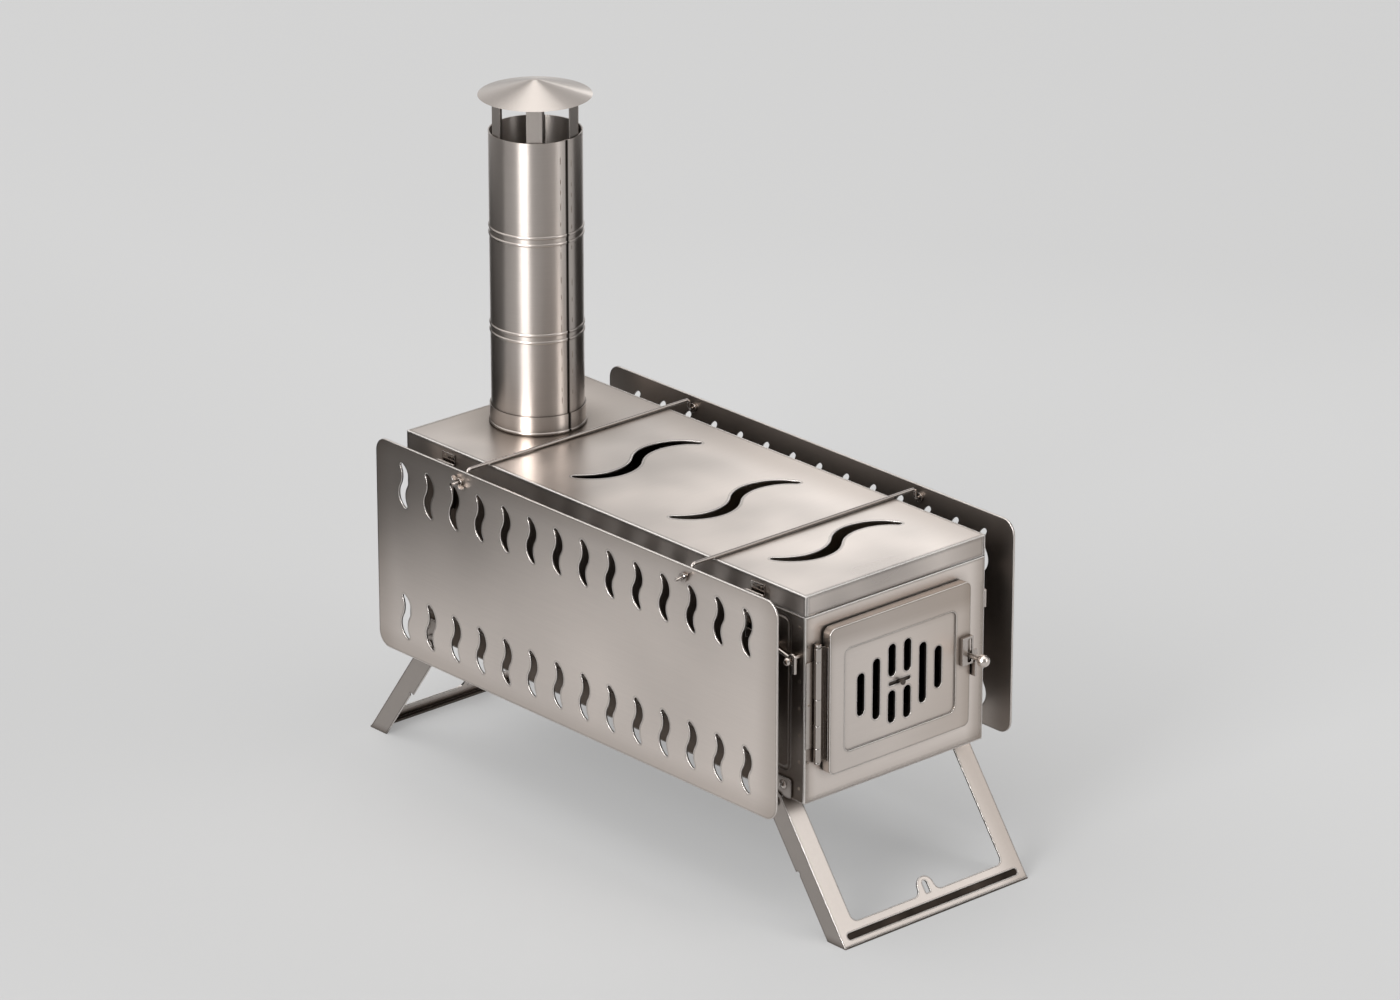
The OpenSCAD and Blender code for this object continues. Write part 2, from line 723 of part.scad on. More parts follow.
// Dome-headed bolts with a slot, and their nuts inside the wall
bolt_nut_r = 3.8;
bolt_nut_t = 3;
bolt_slot = 1;
module ear_bolts() color(steel_bright) at_both_ends() at_both_sides() ear_bolt_place() {
    dome_ball = (dome_r * dome_r + dome_h * dome_h) / (2 * dome_h);
    difference() {
        intersection() {
            translate([ear_t + dome_h - dome_ball, 0, 0]) sphere(r = dome_ball);
            rod_x(ear_t, dome_r, dome_h);
        }
        translate([ear_t + dome_h, 0, 0]) cube([dome_h, bolt_slot, 3 * dome_r], center = true);
    }
    rod_x(-sheet_t - bolt_nut_t, ear_bolt_r, ear_t + sheet_t + bolt_nut_t);
}

module ear_nuts() color(steel_bright) at_both_ends() at_both_sides() ear_bolt_place() difference() {
    rod_x(-sheet_t - bolt_nut_t, bolt_nut_r, bolt_nut_t, $fn = 6);
    rod_x(-sheet_t - bolt_nut_t - over, ear_bolt_r, bolt_nut_t + 2 * over);
}

// Shouldered rivets that the legs turn on
module leg_pivots() color(steel_bright) at_both_ends() at_both_sides() front_pivot() {
    rod_x(half_w - pivot_head_t, pivot_r, leg_out - half_w + slip + pivot_head_t);
    rod_x(leg_out + slip, pivot_head_r, pivot_head_t);
    rod_x(half_w - pivot_head_t, pivot_head_r, pivot_head_t);
}

tab_r = 9;
tab_h = 14.5;
tab_hole_w = 5.2;
tab_hole_l = 15;
tab_fillet = 6;
tab_hole_up = 3.2;
leg_top_r = 5;
groove_w = 6;
groove_d = 0.9;
groove_up = 9.2;
groove_inset = 7;
leg_corner_r = 6;
flange_r = leg_flange / 2;
notch_r = 2.4;
notch_share = 0.46;

// Corner piece that a square cut leaves outside its rounding
module corner_cut(r) difference() {
    translate([-r, -r]) square([r + over, r + over]);
    translate([-r, -r]) circle(r);
}

// The face of the leg frame seen square on, with its top edge at y = 0
module leg_face_outline() {
    low = -leg_bottom - leg_top;
    bar_top = low + crossbar_h;
    arm_in = leg_out - leg_strip;
    corner = arm_in - leg_corner_r;
    difference() {
        translate([-leg_out, low]) square([2 * leg_out, -low]);
        translate([-arm_in, bar_top + leg_corner_r]) square([2 * arm_in, -low]);
        translate([-corner, bar_top]) square([2 * corner, 2 * leg_corner_r]);
        for (s = [-1, 1]) translate([s * corner, bar_top + leg_corner_r]) circle(leg_corner_r);
        for (s = [0, 1]) mirror([s, 0]) mirror([1, 0]) translate([-arm_in, 0]) corner_cut(leg_top_r);
    }
    translate([0, bar_top]) leg_tab();
}

module leg_tab() difference() {
    union() {
        translate([0, tab_h - tab_r]) circle(tab_r);
        translate([-tab_r, -over]) square([2 * tab_r, tab_h - tab_r + over]);
        translate([-tab_r - tab_fillet, -over]) square([2 * (tab_r + tab_fillet), tab_fillet + over]);
    }
    for (s = [-1, 1]) translate([s * (tab_r + tab_fillet), tab_fillet]) circle(tab_fillet);
    translate([0, tab_hole_up]) obround(tab_hole_w, tab_hole_l);
}

// The side flange in the YZ plane, before it is leaned over
module leg_flange_outline() difference() {
    union() {
        translate([flange_r - leg_face, 0]) circle(flange_r);
        translate([-leg_face, -leg_bottom - leg_flange]) square([leg_flange, leg_bottom + leg_flange]);
    }
    low = leg_bottom * notch_share;
    translate([leg_flange - leg_face - leg_step, -2 * leg_bottom - low])
        square([leg_flange, 2 * leg_bottom]);
    translate([leg_flange - leg_face - leg_step / 2, -low]) circle(notch_r);
}

module leg_frame() difference() {
    union() {
        front_pivot() rotate([-leg_splay, 0, 0]) {
            translate([0, 0, leg_top]) stand_front(-leg_face + leg_t, leg_t) leg_face_outline();
            at_both_sides() difference() {
                stand_side(leg_in, leg_t) leg_flange_outline();
                rod_x(leg_in - over, pivot_r + pin_fit, leg_t + 2 * over);
            }
        }
        translate([-leg_out, -pivot_y - leg_bottom * sin(leg_splay) - leg_face * cos(leg_splay), 0])
            cube([2 * leg_out, foot_lip, leg_t]);
    }
    front_pivot() rotate([-leg_splay, 0, 0])
        translate([0, 0, groove_up - leg_bottom]) stand_front(-leg_face + groove_d, over)
            rotate(90) obround(groove_w, 2 * (leg_out - groove_inset));
    translate([-body_w, -body_l, -body_h]) cube([2 * body_w, body_l, body_h]);
}

module leg_front() color(steel) leg_frame();
module leg_rear() color(steel) mirror([0, 1, 0]) leg_frame();

// Chimney
collar_top = 26;
collar_band = 17;
collar_plate = 1;
seam_back = 5;
seam_at = -90;
pipe_low = lid_z + collar_plate;
pipe_join_1 = lid_z + section_h;
pipe_join_2 = pipe_join_1 + section_h;
pipe_top = pipe_join_2 + section_h;
bead_at = 3.2;
bead_sink = 0.8;

module on_pipe(z) translate([0, pipe_y, z]) children();

// Bead round the pipe, half sunk into its sheet
module bead(r) rotate_extrude() intersection() {
    translate([r - bead_sink, 0]) circle(bead_r, $fn = 24);
    translate([r - pipe_t / 2, -bead_r]) square(2 * bead_r);
}

// Groove that leaves the sheet's edge open down the front of the pipe
module seam_cut(r, h) rotate(seam_at) translate([r, -seam_w / 2, -over])
    cube([2 * over + bead_r, seam_w, h + 2 * over]);

// The inner lap of the rolled sheet behind the open seam
module seam_lap(r, h) intersection() {
    tube(r, r - pipe_t, h);
    rotate(seam_at) linear_extrude(h)
        polygon([[0, 0], polar(2 * r, -seam_back), polar(2 * r, seam_back)]);
}

module flue_collar() color(steel) on_pipe(lid_z) {
    down = lid_z - tray_z + sheet_t;
    translate([0, 0, -down]) tube(spigot_r, spigot_r - pipe_t, down + collar_top);
    tube(collar_r, spigot_r - pipe_t, collar_plate);
    difference() {
        union() {
            tube(collar_r, pipe_r + slip, collar_band);
            translate([0, 0, bead_r]) bead(collar_r);
        }
        translate([0, 0, collar_plate + over]) seam_cut(pipe_r, collar_band);
    }
}

// A rolled section with its beads, lap and, where it has one, a spigot below
module pipe_section(h, beads, spigot) {
    difference() {
        union() {
            tube(pipe_r, pipe_r - pipe_t, h);
            for (z = beads) translate([0, 0, z]) bead(pipe_r);
        }
        seam_cut(pipe_r - pipe_t - slip, h);
    }
    seam_lap_low = spigot > 0 ? 0 : collar_top - collar_plate + slip;
    seam_lap_high = h - (beads[len(beads) - 1] > h / 2 ? spigot_h + slip : 0);
    translate([0, 0, seam_lap_low]) seam_lap(pipe_r - pipe_t, seam_lap_high - seam_lap_low);
    if (spigot > 0) {
        translate([0, 0, -spigot]) tube(spigot_r, spigot_r - pipe_t, spigot);
        tube(pipe_r - pipe_t, spigot_r - pipe_t, pipe_t);
    }
}

module pipe_lower() color(steel) on_pipe(pipe_low)
    pipe_section(section_h - collar_plate, [section_h - collar_plate - bead_at], 0);
module pipe_middle() color(steel) on_pipe(pipe_join_1)
    pipe_section(section_h, [bead_at, section_h - bead_at], spigot_h);
module pipe_upper() color(steel) on_pipe(pipe_join_2) pipe_section(section_h, [bead_at], spigot_h);

// Rain cap
cap_z = pipe_top + cap_gap;
cap_t = 0.9;
cap_tip_r = 3;
strap_t = 0.8;
strap_in = 26;
strap_d = sqrt((pipe_r - pipe_t - slip) ^ 2 - (strap_w / 2) ^ 2) - slip;

// Solid under the cap's outer cone, which the shell and the straps share
module cone(lift) translate([0, 0, lift]) cylinder(r1 = cap_r, r2 = cap_tip_r, h = cap_h, $fn = 128);

module rain_cap() color(steel) on_pipe(cap_z) difference() {
    cone(0);
    cone(-cap_t);
    translate([0, 0, -cap_h]) cylinder(r = 2 * cap_r, h = cap_h);
}

module cap_straps() color(steel_dark) on_pipe(0) intersection() {
    for (i = [0 : strap_count - 1]) rotate(strap_turn + i * 360 / strap_count)
        translate([strap_d - strap_t, -strap_w / 2, pipe_top - strap_in])
            cube([strap_t, strap_w, strap_in + cap_gap + cap_h]);
    union() {
        translate([0, 0, pipe_top - strap_in]) cylinder(r = cap_r, h = strap_in + cap_gap - cap_t);
        translate([0, 0, cap_z]) cone(-cap_t);
    }
}

// Toggle latches
toggle_y = half_l - toggle_inset;
keeper_plate_t = 1;
keeper_plate_h = 10;
gutter_w = 6;
gutter_h = 4.2;
gutter_up = 3.5;
gutter_z = flange_z + gutter_up;
bar_x = half_w + keeper_plate_t + gutter_w / 2;
bail_z = gutter_z + keeper_plate_t + bail_r + slip;
bail_l = 28;
crank = 8;
toggle_z = bail_z - bail_l + crank;
lever_t = 1.2;
lever_x = bar_x;
base_t = 1.2;
base_w = toggle_w - 2 * lever_t;
base_h = 24;
toggle_pin_r = 1.2;
base_eye_r = 2.6;

module place_toggle(y) translate([0, y, 0]) children();

// J-section keepers on the lid's flange
module lid_keepers() color(steel_bright) at_both_ends() at_both_sides() place_toggle(-toggle_y)
    translate([half_w, -toggle_w / 2, gutter_z]) {
        cube([keeper_plate_t, toggle_w, keeper_plate_h]);
        cube([gutter_w + 2 * keeper_plate_t, toggle_w, keeper_plate_t]);
        translate([gutter_w + keeper_plate_t, 0, 0]) cube([keeper_plate_t, toggle_w, gutter_h]);
    }

// Base plates riveted to the walls, each with a pair of eyes for the lever pin
module toggle_bases() color(steel_bright) at_both_ends() at_both_sides() place_toggle(-toggle_y) {
    eye_w = base_w - 2 * slip;
    translate([half_w, -eye_w / 2, toggle_z - base_h + base_eye_r]) cube([base_t, eye_w, base_h]);
    for (j = [-1, 1]) translate([0, j * (eye_w / 2 - lever_t / 2), toggle_z]) rotate([90, 0, 0])
        translate([0, 0, -lever_t / 2]) {
            translate([lever_x, 0, 0]) cylinder(r = base_eye_r, h = lever_t);
            translate([half_w, -base_eye_r, 0]) cube([lever_x - half_w, 2 * base_eye_r, lever_t]);
        }
    translate([lever_x, -toggle_w / 2, toggle_z]) rotate([-90, 0, 0])
        cylinder(r = toggle_pin_r, h = toggle_w);
}

// Lever: two cheeks on the base pin, joined by a thumb plate at the lower end
cheek_w = 5;
thumb_h = 8;
module cross_bore(z, r) translate([0, toggle_w, z]) rotate([90, 0, 0])
    cylinder(r = r + pin_fit, h = 2 * toggle_w);

module lever() {
    difference() {
        for (y = [-toggle_w / 2 + lever_t, toggle_w / 2]) stand_front(y, lever_t) {
            circle(cheek_w / 2);
            translate([-cheek_w / 2, -lever_l]) square([cheek_w, lever_l]);
        }
        cross_bore(0, toggle_pin_r);
        cross_bore(-crank, bail_r);
    }
    translate([cheek_w / 2 - lever_t, -toggle_w / 2, -lever_l]) cube([lever_t, toggle_w, thumb_h]);
}

// Bail: a wire loop outside the lever's cheeks, up to the keeper's gutter
module bail() {
    leg = toggle_w / 2 + slip + bail_r;
    for (s = [0, 1]) mirror([0, s, 0]) translate([0, leg, 0]) {
        cylinder(r = bail_r, h = bail_l, $fn = 24);
        rotate([90, 0, 0]) cylinder(r = bail_r, h = slip + bail_r + lever_t, $fn = 24);
        sphere(bail_r, $fn = 24);
        translate([0, 0, bail_l]) sphere(bail_r, $fn = 24);
    }
    translate([0, -leg, bail_l]) rotate([-90, 0, 0]) cylinder(r = bail_r, h = 2 * leg, $fn = 24);
}

module lever_at(y) color(steel_bright) translate([lever_x, y, toggle_z]) lever();
module bail_at(y) color(steel_bright) translate([lever_x, y, toggle_z - crank]) bail();

module lever_right_front() lever_at(-toggle_y);
module lever_right_rear() lever_at(toggle_y);
module lever_left_front() mirror([1, 0, 0]) lever_at(-toggle_y);
module lever_left_rear() mirror([1, 0, 0]) lever_at(toggle_y);
module bail_right_front() bail_at(-toggle_y);
module bail_right_rear() bail_at(toggle_y);
module bail_left_front() mirror([1, 0, 0]) bail_at(-toggle_y);
module bail_left_rear() mirror([1, 0, 0]) bail_at(toggle_y);

// Side hooks
hook_in = 12.5;
hook_up = 124;
hook_y = -half_l + hook_in;
hook_z = floor_gap + hook_up;
hook_l = 17;
hook_tilt = 12;
wire_r = 1.7;
eye_r = 3.6;
rivet_r = eye_r - wire_r - slip;
rivet_ball = 3.6;
peg_r = 1.8;
peg_in = 6;
peg_up = 129;
peg_y = -half_l + peg_in;
peg_z = floor_gap + peg_up;
peg_drop = 14;
peg_out = 6;

module hook_place() translate([half_w, hook_y, hook_z]) children();

// Wire hook that turns on its rivet: an eye, a shank and a curled end
module hook() hook_place() rotate([hook_tilt, 0, 0]) translate([wire_r + slip, 0, 0]) {
    rotate([0, 90, 0]) rotate_extrude() translate([eye_r, 0]) circle(wire_r, $fn = 24);
    translate([0, eye_r, 0]) rotate([-90, 0, 0]) cylinder(r = wire_r, h = hook_l, $fn = 24);
    translate([eye_r, eye_r + hook_l, 0]) rotate_extrude(angle = 180)
        translate([eye_r, 0]) circle(wire_r, $fn = 24);
}

module hook_right() color(steel_bright) hook();
module hook_left() color(steel_bright) mirror([1, 0, 0]) hook();

module hook_rivets() color(steel_bright) at_both_sides() hook_place() {
    rod_x(0, rivet_r, 2 * (wire_r + slip) + rivet_ball / 2);
    translate([2 * (wire_r + slip) + rivet_ball, 0, 0]) sphere(rivet_ball);
}

// Bent pegs beside the hooks
module hook_pegs() color(steel_bright) at_both_sides() translate([half_w, peg_y, peg_z]) {
    rod_x(0, peg_r, peg_out, $fn = 24);
    translate([peg_out, 0, 0]) sphere(peg_r, $fn = 24);
    translate([peg_out, 0, -peg_drop]) cylinder(r = peg_r, h = peg_drop, $fn = 24);
}

body_shell();
front_frame();
back_plate();
lid();
steam_tray();
fire_grate();
side_screen_left();
side_screen_right();
cross_rod_front();
cross_rod_rear();
rod_stop_nuts();
wing_nuts();
door();
damper_rails();
air_damper();
hinge_body_leaf();
hinge_door_leaf();
hinge_pin();
latch_guide();
latch_bar();
latch_ball();
latch_keeper();
leg_front();
leg_rear();
leg_ears();
ear_bolts();
ear_nuts();
leg_pivots();
flue_collar();
pipe_lower();
pipe_middle();
pipe_upper();
rain_cap();
cap_straps();
lid_keepers();
toggle_bases();
lever_right_front();
lever_right_rear();
lever_left_front();
lever_left_rear();
bail_right_front();
bail_right_rear();
bail_left_front();
bail_left_rear();
hook_right();
hook_left();
hook_rivets();
hook_pegs();
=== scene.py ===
import math
import bpy
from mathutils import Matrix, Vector


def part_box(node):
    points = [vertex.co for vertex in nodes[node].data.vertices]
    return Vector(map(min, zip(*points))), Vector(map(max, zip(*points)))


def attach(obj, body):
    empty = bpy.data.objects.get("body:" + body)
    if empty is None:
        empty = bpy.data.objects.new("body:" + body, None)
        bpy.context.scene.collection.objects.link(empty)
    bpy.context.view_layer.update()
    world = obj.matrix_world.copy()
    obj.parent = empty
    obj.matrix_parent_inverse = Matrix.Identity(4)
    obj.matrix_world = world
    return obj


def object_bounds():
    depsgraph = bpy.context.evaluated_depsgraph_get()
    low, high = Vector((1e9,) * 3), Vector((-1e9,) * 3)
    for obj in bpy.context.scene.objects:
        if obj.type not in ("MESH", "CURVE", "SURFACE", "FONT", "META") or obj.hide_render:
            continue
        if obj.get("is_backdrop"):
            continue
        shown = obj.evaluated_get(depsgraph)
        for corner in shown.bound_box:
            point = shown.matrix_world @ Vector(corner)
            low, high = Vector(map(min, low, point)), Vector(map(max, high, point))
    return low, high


# Camera fitted to the photo's edges
YAW = 0.7314426
PITCH = 0.3769330
CAMERA_AT = (-3.3674010, -3.7640811, 2.2743952)
SENSOR_WIDTH = 36
FOCAL_PIXELS = 6500
PHOTO_WIDTH_PIXELS = 1400
cam_data = bpy.data.cameras.new("camera")
cam_data.sensor_width = SENSOR_WIDTH
cam_data.lens = SENSOR_WIDTH * FOCAL_PIXELS / PHOTO_WIDTH_PIXELS
cam_data.clip_end = 200
cam = bpy.data.objects.new("camera", cam_data)
bpy.context.scene.collection.objects.link(cam)
cam.location = CAMERA_AT
cam.rotation_euler = (math.pi / 2 - PITCH, 0, -YAW)
bpy.context.scene.camera = cam
bpy.context.scene.view_settings.view_transform = "Standard"

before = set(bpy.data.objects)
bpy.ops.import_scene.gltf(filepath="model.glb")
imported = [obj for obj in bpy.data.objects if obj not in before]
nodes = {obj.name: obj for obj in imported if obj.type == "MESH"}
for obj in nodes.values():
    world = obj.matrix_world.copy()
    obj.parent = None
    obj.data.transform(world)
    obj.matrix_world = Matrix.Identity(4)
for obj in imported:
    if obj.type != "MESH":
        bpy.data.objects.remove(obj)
cad_low, cad_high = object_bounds()


class Tree:
    """A node tree, with short calls for the nodes that are used here."""

    SPACING = 220
    USUAL_NOISE = (0.3, 0.7)

    def __init__(self, owner):
        owner.use_nodes = True
        self.tree = owner.node_tree
        self.tree.nodes.clear()

    def node(self, kind, **settings):
        """A new node; settings are its own properties, such as operation."""
        made = self.tree.nodes.new("ShaderNode" + kind)
        made.location = (self.SPACING * len(self.tree.nodes), 0)
        for key, value in settings.items():
            setattr(made, key, value)
        return made

    def put(self, socket, value):
        """Links an output to a socket, or sets the socket to a number, vector or colour."""
        if isinstance(value, bpy.types.NodeSocket):
            self.tree.links.new(value, socket)
        else:
            socket.default_value = value

    def made_with(self, made, inputs, output):
        """Sets a node's inputs and gives its output of that name or number."""
        for key, value in inputs.items():
            self.put(made.inputs[key], value)
        return made.outputs[output]

    def math(self, operation, a, b=0.0, c=0.0):
        return self.made_with(self.node("Math", operation=operation), {0: a, 1: b, 2: c}, 0)

    def vector(self, operation, a, b=(0, 0, 0)):
        output = "Value" if operation in ("DOT_PRODUCT", "LENGTH") else "Vector"
        return self.made_with(self.node("VectorMath", operation=operation), {0: a, 1: b}, output)

    def scaled(self, vector, factor):
        made = self.node("VectorMath", operation="SCALE")
        return self.made_with(made, {0: vector, "Scale": factor}, "Vector")

    def split(self, vector):
        """The X, Y and Z of a vector."""
        made = self.node("SeparateXYZ")
        self.put(made.inputs[0], vector)
        return made.outputs

    def remap(self, value, from_low, from_high, to_low=0.0, to_high=1.0, smooth=False):
        made = self.node("MapRange", interpolation_type="SMOOTHSTEP" if smooth else "LINEAR")
        return self.made_with(made, {0: value, "From Min": from_low, "From Max": from_high,
                                     "To Min": to_low, "To Max": to_high}, 0)

    def noise(self, place, scale, detail=2.0):
        return self.made_with(self.node("TexNoise"), {"Vector": place, "Scale": scale, "Detail": detail}, 0)

    def spread(self, noise, low, high):
        """The usual values of a noise, stretched between low and high."""
        return self.remap(noise, *self.USUAL_NOISE, low, high)

    def mix(self, factor, a, b, blend="MIX"):
        made = self.node("Mix", data_type="RGBA", blend_type=blend)
        return self.made_with(made, {"Factor": factor, "A": a, "B": b}, "Result")

    def ramp(self, value, stops):
        """A colour ramp through stops of a place and its red, green and blue."""
        made = self.node("ValToRGB")
        elements = made.color_ramp.elements
        for k, (at, colour) in enumerate(stops):
            element = elements[k] if k < 2 else elements.new(at)
            element.position = at
            element.color = (*colour, 1)
        return self.made_with(made, {0: value}, 0)

    def distance_along(self, place, axis, centre):
        """How far a point is from centre, measured along one axis."""
        return self.math("ABSOLUTE", self.math("SUBTRACT", self.split(place)[axis], centre))

    def distance_level(self, place, x, y):
        """How far a point is from the upright line through x and y."""
        away = self.vector("SUBTRACT", place, (x, y, 0))
        return self.vector("LENGTH", self.vector("MULTIPLY", away, (1, 1, 0)))

    def inside_box(self, place, centre, half):
        """1 inside the box with that centre and those half sizes, 0 outside it."""
        away = self.vector("ABSOLUTE", self.vector("SUBTRACT", place, centre))
        past = self.split(self.vector("SUBTRACT", away, half))
        most = self.math("MAXIMUM", self.math("MAXIMUM", past["X"], past["Y"]), past["Z"])
        return self.math("LESS_THAN", most, 0.0)


def new_material(name):
    """A material, its empty tree, and a Principled shader in it that isn't linked yet."""
    material = bpy.data.materials.new(name)
    t = Tree(material)
    return material, t, t.node("BsdfPrincipled")


def finish_material(t, shader):
    t.put(t.node("OutputMaterial").inputs["Surface"], shader.outputs[0])


# Colours of the marks on the steel: the painted edge highlight, the straw tint, painted shade in the
# crevices, flue soot, and painted shade along the borders
EDGE_HIGHLIGHT = (1.0, 0.965, 0.935, 1)
STRAW = (0.30, 0.225, 0.165, 1)
CREVICE_SHADE = (0.095, 0.072, 0.056, 1)
FLUE_SOOT = (0.30, 0.235, 0.19, 1)
BORDER_SHADE = (0.22, 0.168, 0.130)
WALL_SHADE = (0.055, 0.042, 0.033)

# Height of the drawn grain, and how much it changes the tone
GRAIN_HEIGHT = 0.000007
GRAIN_TONE = 0.015
# How far the rounded normal turns from the sheet's own, as their dot product: on a flat sheet, where an
# edge's painted highlight is full, and where the painted shade line beside it is full
FLAT = 0.995
FULL_HIGHLIGHT = 0.93
FULLY_DARK = 0.96
# The painted shade line's width over the painted highlight's, and a seam's width with its soft border over
# that without
HALO_WIDTH = 2
SEAM_FADE = 1.7
# Share of the painted edge highlight that the painted shade of a cut edge hides, and how much rougher soot is
# than the steel
CUT_HIDES = 0.85
SOOT_ROUGHER = 0.3
# How open a spot is where the painted shade of a crevice starts, and where it is full
OPEN = 0.95
BURIED = 0.35
# How far the clouds of polish push the inner edge of a border's painted shade, as a share of its reach, and
# the edge of the straw tint, in metres
RIM_WAVE = 1.6
STRAW_WAVE = 0.05
# Gloss of steel brushed round an axis
ANISOTROPY = 0.85
QUARTER_TURN = 0.25
# Samples of each bevel and crevice look-up
SAMPLES = 6
# A border without painted shade is taken to be this far from the other one, well past the stove
BEYOND = 1.0


def fold(t, normal, radius, full):
    """0 on a flat sheet, 1 within about radius of a fold, and the rounded normal."""
    bevel = t.node("Bevel", samples=SAMPLES)
    bevel.inputs["Radius"].default_value = radius
    return t.remap(t.vector("DOT_PRODUCT", bevel.outputs[0], normal), FLAT, full), bevel.outputs[0]


def border_shade(t, place, clouds, axis, low, high, reach, much):
    """Painted shade along a sheet's borders at low and high, with a cloudy inner edge."""
    if low is None:
        low = high - BEYOND
    if high is None:
        high = low + BEYOND
    half = (high - low) / 2
    away = t.distance_along(place, axis, (low + high) / 2)
    wave = t.math("MULTIPLY_ADD", clouds, reach * RIM_WAVE, -reach * RIM_WAVE / 2)
    return t.remap(t.math("ADD", away, wave), half - reach, half, 0.0, much, smooth=True)


def steel(name, base, rough, grain, cloud=0.07, cloud_scale=4.0, rough_cloud=0.08, along=None, edge=0.0022,
          edge_light=0.9, halo=0.5, crevice=0.012, depth=0.75, soot=None, seams=(), cuts=(), rims=(),
          shade_colour=BORDER_SHADE, straw_tint=None):
    """Satin sheet steel: drawn grain, broad clouds of polish, painted highlights on the edges, and painted
    brown shade in the crevices.

    along: axis round which the sheet is brushed, for an anisotropic gloss.
    edge, edge_light: how wide and how bright the painted highlight on each fold is.
    halo: how dark the painted shade line beside the highlight is.
    seams: (axis, place, half width, how dark) of the painted shade line in the gap where two sheets meet.
    cuts: (axis, centre, half size, how dark) of painted shade on cut edges: faces square to the sheet inside
    that box.
    rims: (axis, low border, high border, reach, how strong) of the painted brown shade along a sheet's
    borders. A border that is None has no painted shade.
    straw_tint: (x, y, near, far, how strong) of the straw-brown tint round the upright line through x and y.
    crevice, depth: how far from another surface the painted crevice shade starts, and how dark it gets.
    soot: (x, y, radius) of a flue axis; inside that radius the sheet is dull brown soot.
    """
    material, t, shader = new_material(name)
    shader.inputs["Metallic"].default_value = 1.0
    coordinates = t.node("TexCoord").outputs
    place = coordinates["Object"]
    drawn = t.noise(t.vector("MULTIPLY", place, grain), 1.0, 3.0)
    clouds = t.noise(place, cloud_scale)
    tone = t.math("MULTIPLY", t.spread(clouds, 1 - cloud, 1 + cloud),
                  t.spread(drawn, 1 - GRAIN_TONE, 1 + GRAIN_TONE))
    # Painted highlight on each fold, with a line of painted shade beside it
    if edge_light:
        normal = t.node("NewGeometry").outputs["Normal"]
        edge_glint, rounded = fold(t, normal, edge, FULL_HIGHLIGHT)
        # The line of painted shade beside the painted highlight
        beside, _ = fold(t, normal, edge * HALO_WIDTH, FULLY_DARK)
        dark = t.math("MULTIPLY", beside, t.math("SUBTRACT", 1.0, edge_glint))
        tone = t.math("MULTIPLY", tone, t.math("MULTIPLY_ADD", dark, -halo, 1.0))
    # Painted shade line in the gap where two sheets meet
    for axis, at, half, much in seams:
        line = t.remap(t.distance_along(place, axis, at), half, half * SEAM_FADE, 1 - much, 1.0)
        tone = t.math("MULTIPLY", tone, line)
    # Painted shade on cut edges, which also takes away their painted highlight
    for axis, centre, half, much in cuts:
        square = t.math("LESS_THAN", t.math("ABSOLUTE", t.split(coordinates["Normal"])[axis]), 0.5)
        cut = t.math("MULTIPLY", t.inside_box(place, centre, half), square)
        tone = t.math("MULTIPLY", tone, t.math("MULTIPLY_ADD", cut, -much, 1.0))
        if edge_light:
            edge_glint = t.math("MULTIPLY", edge_glint, t.math("MULTIPLY_ADD", cut, -CUT_HIDES, 1.0))
    colour = t.scaled(base, t.math("MINIMUM", tone, 1 / max(base)))
    # Painted brown shade along the borders
    for rim in rims:
        colour = t.mix(border_shade(t, place, clouds, *rim), colour, (*shade_colour, 1))
    # Straw-brown tint round an upright line
    if straw_tint is not None:
        x, y, near, far, much = straw_tint
        wave = t.math("MULTIPLY_ADD", clouds, STRAW_WAVE, -STRAW_WAVE / 2)
        away = t.math("ADD", t.distance_level(place, x, y), wave)
        colour = t.mix(t.remap(away, far, near, 0.0, much, smooth=True), colour, STRAW)
    # The painted highlight on the folds
    if edge_light:
        colour = t.mix(t.math("MULTIPLY", edge_glint, edge_light), colour, EDGE_HIGHLIGHT)
    # Painted shade in the crevices, darker where a spot is more closed in
    if crevice:
        hollow = t.node("AmbientOcclusion", samples=SAMPLES)
        hollow.inputs["Distance"].default_value = crevice
        colour = t.mix(t.remap(hollow.outputs["AO"], OPEN, BURIED, 0.0, depth), colour, CREVICE_SHADE)
    roughness = t.spread(clouds, rough - rough_cloud / 2, rough + rough_cloud / 2)
    if soot is not None:
        x, y, radius = soot
        inside = t.math("LESS_THAN", t.distance_level(place, x, y), radius)
        colour = t.mix(inside, colour, FLUE_SOOT)
        roughness = t.math("ADD", roughness, t.math("MULTIPLY", inside, SOOT_ROUGHER))
        t.put(shader.inputs["Metallic"], t.math("SUBTRACT", 1.0, inside))
    t.put(shader.inputs["Base Color"], colour)
    t.put(shader.inputs["Roughness"], roughness)
    bump = t.node("Bump")
    bump.inputs["Strength"].default_value = 1.0
    bump.inputs["Distance"].default_value = GRAIN_HEIGHT
    t.put(bump.inputs["Height"], drawn)
    if edge_light:
        t.put(bump.inputs["Normal"], rounded)
    t.put(shader.inputs["Normal"], bump.outputs[0])
    if along is not None:
        shader.inputs["Anisotropic"].default_value = ANISOTROPY
        shader.inputs["Anisotropic Rotation"].default_value = QUARTER_TURN
        t.put(shader.inputs["Tangent"], t.node("Tangent", direction_type="RADIAL", axis=along).outputs[0])
    finish_material(t, shader)
    return material


# Grain per metre along X, Y and Z
ALONG_X = (25, 900, 900)
ALONG_Y = (900, 25, 900)
ALONG_Z = (900, 900, 25)
AROUND_Z = (25, 25, 900)
FINE = (400, 400, 400)

# Places that the materials share, in metres
FLUE_X = 0
FLUE_Y = 0.195
PIPE_RADIUS = 0.040
LID_LOW_Z = 0.274
LID_SEAM_Z = LID_LOW_Z - 0.0004
SEAM_HALF = 0.0006
BORDER_X = 0.101
BORDER_Y = 0.251


def warm(value):
    """The steel's warm grey at a given brightness."""
    return (value, value * 0.907, value * 0.843)


